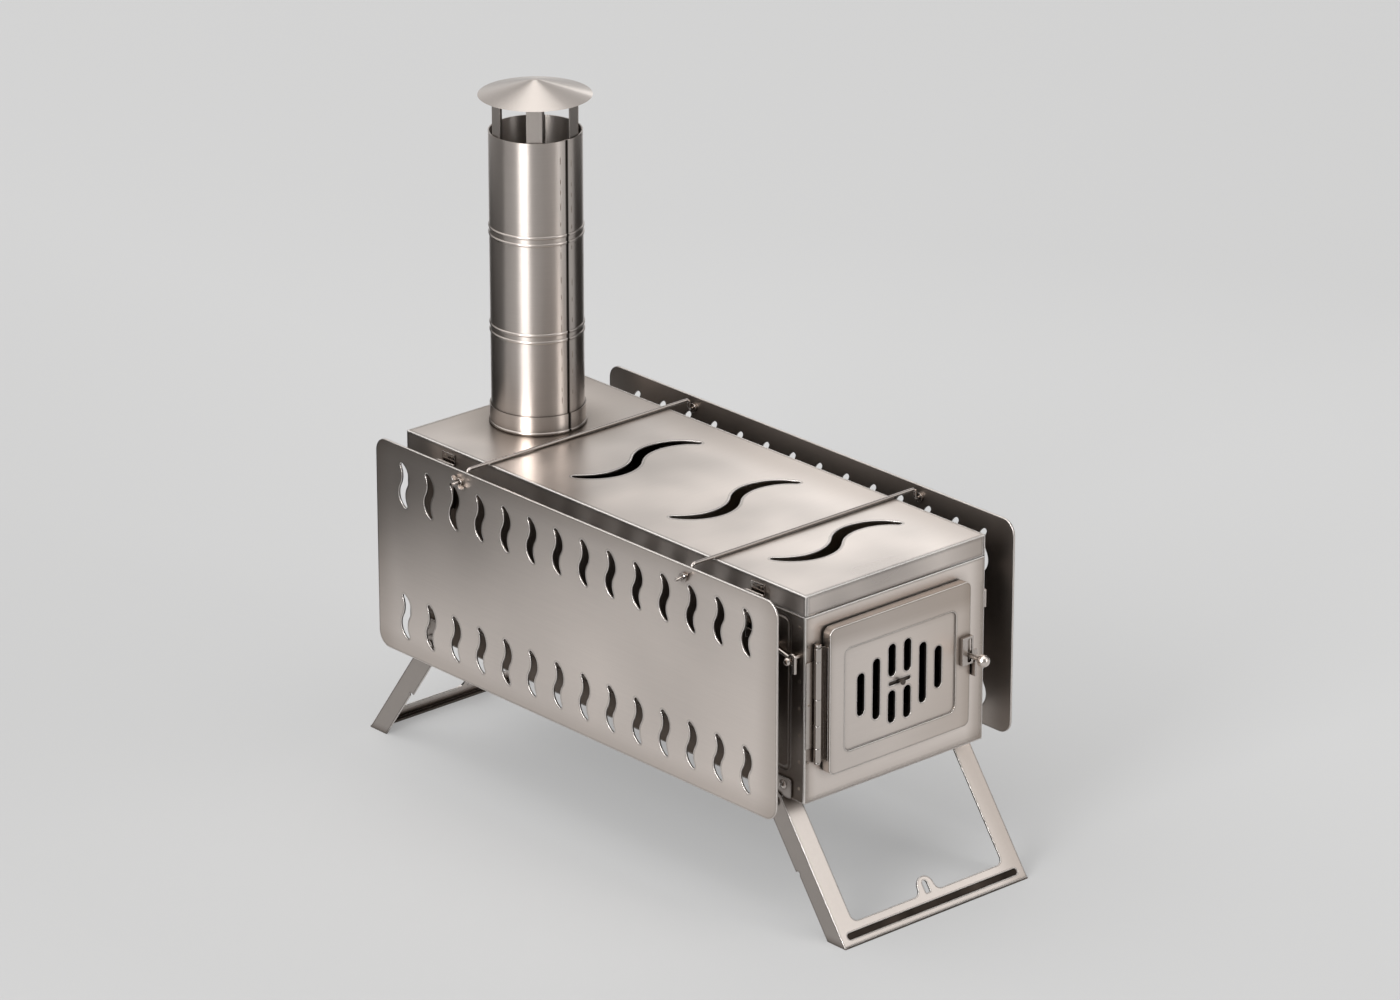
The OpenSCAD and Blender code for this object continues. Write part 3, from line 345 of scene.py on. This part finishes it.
STEELS = {
    "lid": steel(
        "lid_sheet", warm(0.68), 0.31, ALONG_X, cloud=0.28, cloud_scale=8.0, halo=0.6, crevice=0.032,
        seams=[("Z", LID_LOW_Z, SEAM_HALF, 0.8)],
        rims=[("X", None, BORDER_X, 0.050, 0.42), ("Y", None, BORDER_Y, 0.030, 0.2)],
        cuts=[("Z", (0, 0, 0.29), (0.09, 0.24, 0.01), 0.8)],
        # heat colour round the flue
        straw_tint=(FLUE_X, FLUE_Y, 0.045, 0.095, 0.30)),
    # the walls: dark painted shade towards their bottom border
    "wall": steel(
        "wall_sheet", warm(0.55), 0.36, ALONG_Y, crevice=0.060, depth=0.92,
        seams=[("Z", LID_SEAM_Z, SEAM_HALF, 0.7)],
        rims=[("Z", 0.111, None, 0.052, 0.95)], shade_colour=WALL_SHADE),
    "screen": steel(
        "screen_sheet", warm(0.73), 0.34, ALONG_Y, cloud=0.14, edge=0.0016, edge_light=0.6, crevice=0.045,
        depth=0.62,
        rims=[("Y", -0.252, 0.252, 0.030, 0.30), ("Z", 0.105, 0.296, 0.022, 0.25)],
        cuts=[("X", (0, 0, 0.20), (0.2, 0.248, 0.092), 0.6)]),
    "door": steel(
        "door_sheet", warm(0.72), 0.34, ALONG_X, cloud=0.12, edge=0.0012, crevice=0.006, depth=0.85, halo=0.7,
        rims=[("X", -0.084, 0.076, 0.012, 0.25), ("Z", 0.119, 0.251, 0.016, 0.35)],
        cuts=[("Y", (0, -0.256, 0.197), (0.06, 0.01, 0.05), 0.8)],
        # the door's straw tint darkens the door towards its right edge
        straw_tint=(0.115, -0.255, 0.03, 0.17, 0.35)),
    "front": steel(
        "front_sheet", warm(0.77), 0.36, ALONG_X, crevice=0.009, depth=0.65, halo=0.7,
        seams=[("Z", LID_SEAM_Z, SEAM_HALF, 0.7)],
        rims=[("X", -BORDER_X, BORDER_X, 0.018, 0.5), ("Z", 0.104, 0.296, 0.018, 0.4)]),
    "leg": steel(
        "leg_sheet", warm(0.76), 0.36, FINE, edge=0.0011, halo=0.8, crevice=0.008, depth=0.9,
        rims=[("X", None, 0.105, 0.035, 0.38)],
        cuts=[("Z", (0, 0, 0.06), (0.10, 0.32, 0.06), 0.7), ("Z", (0, 0, 0.06), (0.16, 0.33, 0.07), 0.5)]),
    "pipe": steel(
        "pipe_sheet", warm(0.50), 0.34, AROUND_Z, along="Z", edge_light=0, cloud=0.04, crevice=0.008,
        depth=0.8,
        soot=(FLUE_X, FLUE_Y, PIPE_RADIUS - 0.0015),
        cuts=[("Z", (FLUE_X, FLUE_Y - PIPE_RADIUS, 0.425), (0.0017, 0.007, 0.135), 0.75)]),
    "cap": steel("cap_sheet", warm(0.66), 0.22, FINE, along="Z", edge_light=0, crevice=0),
    "strap": steel("strap_sheet", warm(0.40), 0.40, ALONG_Z, edge_light=0, crevice=0),
    "wire": steel("wire_steel", warm(0.55), 0.22, FINE, edge_light=0, crevice=0.006, depth=0.6),
    "small": steel(
        "small_steel", warm(0.50), 0.22, FINE, edge=0.0004, edge_light=0.7, crevice=0.006, depth=0.9),
    "ball": steel("ball_steel", warm(0.62), 0.16, FINE, rough_cloud=0.04, edge_light=0, crevice=0),
    "inside": steel("inside_sheet", (0.42, 0.36, 0.30), 0.55, FINE, cloud=0.2, edge_light=0, crevice=0),
    "weld": steel(
        "weld_mark", (0.30, 0.25, 0.21), 0.42, FINE, cloud=0.25, cloud_scale=60, edge_light=0,
        crevice=0),
    # dark painted shade for the legs' grooves
    "shade": steel(
        "groove_shade", (0.048, 0.037, 0.030), 0.60, ALONG_X, cloud=0.5, cloud_scale=30, edge_light=0,
        crevice=0),
    "damper": steel("damper_sheet", (0.10, 0.085, 0.075), 0.45, ALONG_X, cloud=0.15, edge_light=0, crevice=0),
}

# Solids of each steel; the rest are small fittings
LOOKS = {
    "lid": ["lid"],
    "wall": ["body_shell", "back_plate"],
    "front": ["front_frame"],
    "screen": ["side_screen_left", "side_screen_right"],
    "door": ["door"],
    "leg": ["leg_front", "leg_rear", "leg_ears"],
    "pipe": ["flue_collar", "pipe_lower", "pipe_middle", "pipe_upper"],
    "cap": ["rain_cap"],
    "strap": ["cap_straps"],
    "wire": ["cross_rod_front", "cross_rod_rear", "hook_right", "hook_left", "hook_pegs"]
            + [node for node in nodes if node.startswith("bail")],
    "ball": ["latch_ball", "hook_rivets"],
    "inside": ["steam_tray", "fire_grate", "damper_rails"],
    "damper": ["air_damper"],
}
look_of = {node: look for look, members in LOOKS.items() for node in members}
for name, ob in nodes.items():
    ob.data.materials.clear()
    ob.data.materials.append(STEELS[look_of.get(name, "small")])

# Small pieces that the solids leave out, each built in the frame's own axes, in millimetres
MM = 0.001
SIDES = (-1, 1)


def circle(count):
    """Angles evenly round a full turn."""
    return [2 * math.pi * k / count for k in range(count)]


class Bits:
    """Collects small closed shapes into one mesh."""

    DOME_RINGS = 5
    DOME_POINTS = 16
    DOME_TIP = 0.08
    TUBE_POINTS = 6

    def __init__(self):
        self.verts = []
        self.faces = []

    def rings(self, rings):
        """Skins a stack of rings with the same number of points and closes both ends."""
        start = len(self.verts)
        count = len(rings[0])
        for ring in rings:
            self.verts += [tuple(point) for point in ring]
        for level in range(len(rings) - 1):
            for k in range(count):
                a = start + level * count + k
                b = start + level * count + (k + 1) % count
                self.faces.append((a, b, b + count, a + count))
        last = start + (len(rings) - 1) * count
        self.faces.append(tuple(start + k for k in reversed(range(count))))
        self.faces.append(tuple(last + k for k in range(count)))

    def dome(self, at, normal, radius, height, long=1.0):
        """Low round head on an upright face; long stretches it up and down."""
        at = Vector(at)
        out = Vector(normal).normalized()
        up = Vector((0, 0, 1))
        side = out.cross(up)
        rings = []
        for k in range(self.DOME_RINGS):
            rise = k / (self.DOME_RINGS - 1) * math.pi / 2
            r = radius * max(math.cos(rise), self.DOME_TIP)
            rings.append([at + up * (r * long * math.cos(turn)) + side * (r * math.sin(turn))
                          + out * (height * math.sin(rise)) for turn in circle(self.DOME_POINTS)])
        self.rings(rings)

    def tube(self, path, radius):
        """Round wire along a path."""
        rings = []
        for k, at in enumerate(path):
            before = Vector(path[max(k - 1, 0)])
            after = Vector(path[min(k + 1, len(path) - 1)])
            ahead = (after - before).normalized()
            if abs(ahead.x) > 0.9:
                across = ahead.orthogonal().normalized()
            else:
                across = (Vector((1, 0, 0)) - ahead * ahead.x).normalized()
            other = ahead.cross(across)
            rings.append([Vector(at) + (across * math.cos(turn) + other * math.sin(turn)) * radius
                          for turn in circle(self.TUBE_POINTS)])
        self.rings(rings)

    def make(self, name, look, body):
        """The finished object, riding on its body, with the flat ends left sharp."""
        mesh = bpy.data.meshes.new(name)
        mesh.from_pydata([tuple(c * MM for c in point) for point in self.verts], [], self.faces)
        mesh.update()
        mesh.polygons.foreach_set("use_smooth", [len(face.vertices) == 4 for face in mesh.polygons])
        mesh.materials.append(STEELS[look])
        ob = bpy.data.objects.new(name, mesh)
        bpy.context.scene.collection.objects.link(ob)
        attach(ob, body)
        return ob


# Threads on the rod ends, outside the wing nuts
rod_low, rod_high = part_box("cross_rod_front")
ROD_R = 1.5
ROD_Y = -(rod_low.y + rod_high.y) / 2 / MM
ROD_Z = rod_low.z / MM + ROD_R
THREAD_R = ROD_R + 0.02
THREAD_WIRE_R = 0.16
THREAD_START = 135.1
THREAD_LENGTH = 6.9
THREAD_TURNS = 11
TURN_STEPS = 14
threads = Bits()
for side in SIDES:
    for end in SIDES:
        path = []
        for k in range(THREAD_TURNS * TURN_STEPS + 1):
            turn = 2 * math.pi * k / TURN_STEPS
            path.append((side * (THREAD_START + THREAD_LENGTH * k / (THREAD_TURNS * TURN_STEPS)),
                         end * ROD_Y + THREAD_R * math.cos(turn), ROD_Z + THREAD_R * math.sin(turn)))
        threads.tube(path, THREAD_WIRE_R)
threads.make("rod_threads", "small", "stove")

# Painted shade: a thin dark piece lying in the long groove of each leg's crossbar
SPLAY = math.radians(35.5)
PIVOT_Y = 219.4
PIVOT_Z = 104.4
LEG_FACE = 8.0
LEG_OUT = 103.3
LEG_BOTTOM = (PIVOT_Z + LEG_FACE * math.sin(SPLAY)) / math.cos(SPLAY)
GROOVE_DEPTH = 0.9
GROOVE_UP = 9.2
GROOVE_WIDTH = 6.0
GROOVE_HALF = LEG_OUT - 7.0
END_STEPS = 12
# Each ring's height over the groove's floor, and how far it stays inside the groove's outline
SHADE_RINGS = ((-0.10, 0.35), (0.03, 0.35), (0.05, 0.9))


def on_leg(x, y, z, end):
    """A point of the leg frame's own coordinates: y out of its face, z along it from the pivot."""
    level, drop = math.cos(SPLAY), math.sin(SPLAY)
    return (x, end * (PIVOT_Y - (y * level + z * drop)), PIVOT_Z - y * drop + z * level)


def shade_ring(up, inset, end):
    """One obround ring of the painted shade piece, running the other way round on the rear leg."""
    half = GROOVE_WIDTH / 2 - inset
    far = GROOVE_HALF - GROOVE_WIDTH / 2
    ring = []
    for side in (1, -1):
        for k in range(END_STEPS + 1):
            turn = math.radians(side * 90 - 180 * k / END_STEPS)
            ring.append(on_leg(side * far + half * math.cos(turn), -LEG_FACE + GROOVE_DEPTH - up,
                               GROOVE_UP - LEG_BOTTOM + half * math.sin(turn), end))
    return ring if end < 0 else ring[::-1]


for end, where, body in ((-1, "front", "front_leg_frame"), (1, "rear", "rear_leg_frame")):
    shade_sheet = Bits()
    shade_sheet.rings([shade_ring(up, inset, end) for up, inset in SHADE_RINGS])
    shade_sheet.make("groove_shade_" + where, "shade", body)

# Spot welds down the walls, where the end plates' flanges lie behind them, on the lid's keepers,
# on the ears that carry the legs and on the hinge leaf
WALL_X = 100
FLANGE_Y = 243.2
WALL_WELDS_Z = [122 + 23.5 * k for k in range(7)]
KEEPER_X = 101
KEEPER_Y = 194
KEEPER_WELD_Z = 284.6
EAR_X = 101.5
EAR_WELD_Y = 225.5
EAR_WELDS_Z = (119.2, 123.6)
HINGE_WELD_X = -97.2
HINGE_WELD_Y = -251.2
HINGE_WELDS_Z = (146.5, 197, 247.5)
welds = Bits()
for side in SIDES:
    for end in SIDES:
        for z in WALL_WELDS_Z:
            welds.dome((side * WALL_X, end * FLANGE_Y, z), (side, 0, 0), 1.5, 0.14)
        for beside in (-4.2, 4.2):
            welds.dome((side * KEEPER_X, end * KEEPER_Y + beside, KEEPER_WELD_Z), (side, 0, 0), 1.0, 0.16)
        for z in EAR_WELDS_Z:
            welds.dome((side * EAR_X, end * EAR_WELD_Y, z), (side, 0, 0), 0.8, 0.1)
for z in HINGE_WELDS_Z:
    welds.dome((HINGE_WELD_X, HINGE_WELD_Y, z), (0, -1, 0), 1.1, 0.14)
welds.make("spot_welds", "weld", "stove")

# Rivet heads on the latch keeper's foot
RIVET_X = 79.6
RIVET_Y = -251.5
RIVETS_Z = (174.4, 186.5)
rivets = Bits()
for z in RIVETS_Z:
    rivets.dome((RIVET_X, RIVET_Y, z), (0, -1, 0), 1.25, 0.55)
rivets.make("keeper_rivets", "small", "stove")

# Stitch marks of the rolled seam, in two rows beside it on each section of the pipe: a row has an angle
# round the pipe, in degrees from +X, and a shift upwards
STITCH_ROWS = ((-99.5, 0.0), (-82.5, 5.0))
SECTIONS_Z = ((322, 372), (387, 436), (452, 545))
STITCH_R = 0.42
STITCH_HEIGHT = 0.12
STITCH_HALF = 2.2
LONG_STITCH_HALF = 3.4
STITCH_STEP = 9.5
EXTRA_STEP = 3.0
PIPE_R = PIPE_RADIUS / MM
PIPE_Y = FLUE_Y / MM
stitches = Bits()
for row, (angle, shift) in enumerate(STITCH_ROWS):
    turn = math.radians(angle)
    out = (math.cos(turn), math.sin(turn), 0)
    for low, high in SECTIONS_Z:
        z = low + shift
        k = 0
        while z < high:
            half = STITCH_HALF if (k + row) % 3 else LONG_STITCH_HALF
            stitches.dome((PIPE_R * out[0], PIPE_Y + PIPE_R * out[1], z), out, STITCH_R, STITCH_HEIGHT,
                          long=half / STITCH_R)
            z += STITCH_STEP + EXTRA_STEP * ((k * 7 + row * 3) % 4)
            k += 1
stitches.make("seam_stitches", "weld", "stove")


def floor_paint():
    """Pale matt paint. What camera and steel see of it is half its own light: its shadows stay soft."""
    material, t, shader = new_material("floor_paint")
    coordinates = t.node("TexCoord").outputs
    place = coordinates["Object"]
    x = t.split(place)["X"]
    patches = t.remap(t.noise(coordinates["Generated"], 0.6), 0.0, 1.0, 0.54, 0.57)
    across = t.remap(x, -0.5, 0.5, 0.84, 0.95)
    # darker under the left strip, so that its pool of light doesn't burn out when seen from the sides
    under_strip = t.remap(x, -2.2, -0.75, 0.15, 1.0)
    paint = t.math("MULTIPLY", t.math("MULTIPLY", patches, across), under_strip)
    t.put(shader.inputs["Base Color"], paint)
    shader.inputs["Roughness"].default_value = 0.9
    shader.inputs["Specular IOR Level"].default_value = 0.1
    away = t.vector("DOT_PRODUCT", place, (0.67, 0.74, 0))
    glow = t.node("Emission")
    t.put(glow.inputs["Color"], t.math("MULTIPLY", t.remap(away, -1.2, 2.5, 0.58, 0.74), across))
    rays = t.node("LightPath").outputs
    seen = t.math("MAXIMUM", t.math("MAXIMUM", rays["Is Camera Ray"], rays["Is Glossy Ray"]),
                  rays["Is Transmission Ray"])
    both = t.node("MixShader")
    t.put(both.inputs[0], t.math("MULTIPLY", seen, 0.5))
    t.put(both.inputs[1], shader.outputs[0])
    t.put(both.inputs[2], glow.outputs[0])
    finish_material(t, both)
    return material


FLOOR_HALF = 40
floor_mesh = bpy.data.meshes.new("floor")
corners = [(x * FLOOR_HALF, y * FLOOR_HALF, 0) for x, y in ((-1, -1), (1, -1), (1, 1), (-1, 1))]
floor_mesh.from_pydata(corners, [], [(0, 1, 2, 3)])
floor_mesh.materials.append(floor_paint())
floor = bpy.data.objects.new("floor", floor_mesh)
bpy.context.scene.collection.objects.link(floor)
floor.location.z = min(0.0, cad_low.z) - 0.0001
floor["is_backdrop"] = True

# The studio round the set: its brightness by height, from level to straight up, times its brightness by
# direction, in degrees from +X towards +Y
BY_HEIGHT = [(0.0, 0.62), (0.10, 0.95), (0.30, 1.05), (0.55, 1.00), (0.88, 1.50), (1.0, 1.0)]
BY_DIRECTION = [(-180, 0.9), (-163, 1.3), (-140, 0.6), (-105, 0.35), (-62, 1.05), (-35, 1.1), (-12, 0.12),
              (20, 0.2), (38, 0.88), (60, 0.88), (75, 0.3), (88, 0.5), (105, 1.2), (135, 1.2), (160, 0.9),
              (180, 0.9)]
world = bpy.data.worlds.new("studio")
bpy.context.scene.world = world
t = Tree(world)
direction = t.split(t.node("TexCoord").outputs["Generated"])
by_height = t.ramp(direction["Z"], [(at, (v, v * 0.995, v * 0.985)) for at, v in BY_HEIGHT])
turn = t.remap(t.math("ARCTAN2", direction["Y"], direction["X"]), -math.pi, math.pi)
by_direction = t.ramp(turn, [(0.5 + degrees / 360, (v, v, v)) for degrees, v in BY_DIRECTION])
background = t.node("Background")
t.put(background.inputs["Color"], t.mix(1.0, by_height, by_direction, blend="MULTIPLY"))
background.inputs["Strength"].default_value = 0.80
t.put(t.node("OutputWorld").inputs["Surface"], background.outputs[0])


def area(name, at, aim, size, power):
    """A soft box at a place, turned to what it aims at."""
    light = bpy.data.lights.new(name, "AREA")
    light.shape = "RECTANGLE"
    light.size, light.size_y = size
    light.energy = power
    ob = bpy.data.objects.new(name, light)
    bpy.context.scene.collection.objects.link(ob)
    ob.location = at
    ob.rotation_euler = (Vector(aim) - Vector(at)).to_track_quat("-Z", "Y").to_euler()


area("top_box", (-1.0, 0.5, 5.0), (0, 0, 0.2), (7.5, 7.5), 185)
# soft box to the right and rear of the stove, which the front of the lid mirrors
area("rear_box", (1.144, 0.503, 0.72), (0.0, -0.22, 0.29), (0.9, 0.5), 1.2)
# tall soft boxes, left of the camera and in front
area("left_strip", (-2.7, -0.8, 1.3), (0, 0.19, 0.40), (1.15, 2.2), 88)
area("front_strip", (1.0, -3.2, 1.2), (0, 0.19, 0.40), (0.7, 2.0), 16)


def flag_cloth():
    """Black cloth."""
    material, t, shader = new_material("flag_cloth")
    weave = t.noise(t.node("TexCoord").outputs["Generated"], 40)
    black = t.ramp(weave, [(0.0, (0.010, 0.009, 0.008)), (1.0, (0.022, 0.020, 0.018))])
    t.put(shader.inputs["Base Color"], black)
    shader.inputs["Roughness"].default_value = 1.0
    shader.inputs["Specular IOR Level"].default_value = 0.0
    finish_material(t, shader)
    return material


# Dark flags beside the set, from one point of the floor to another and up to a height: they only show as
# dark bands mirrored in the steel
FLAGS = (
    ("flag_left", (-0.66, 0.62), (0.10, 0.62), 0.42),
    ("flag_right", (0.60, 0.42), (0.60, -0.12), 0.42),
    ("flag_low", (-0.80, 0.50), (-0.42, 0.50), 0.10),
)
cloth = flag_cloth()
for name, a, b, top in FLAGS:
    mesh = bpy.data.meshes.new(name)
    mesh.from_pydata([(*a, 0), (*b, 0), (*b, top), (*a, top)], [], [(0, 1, 2, 3)])
    mesh.materials.append(cloth)
    ob = bpy.data.objects.new(name, mesh)
    bpy.context.scene.collection.objects.link(ob)
    ob.visible_camera = False
    ob.visible_diffuse = False
    ob.visible_shadow = False
    ob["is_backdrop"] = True

low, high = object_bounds()
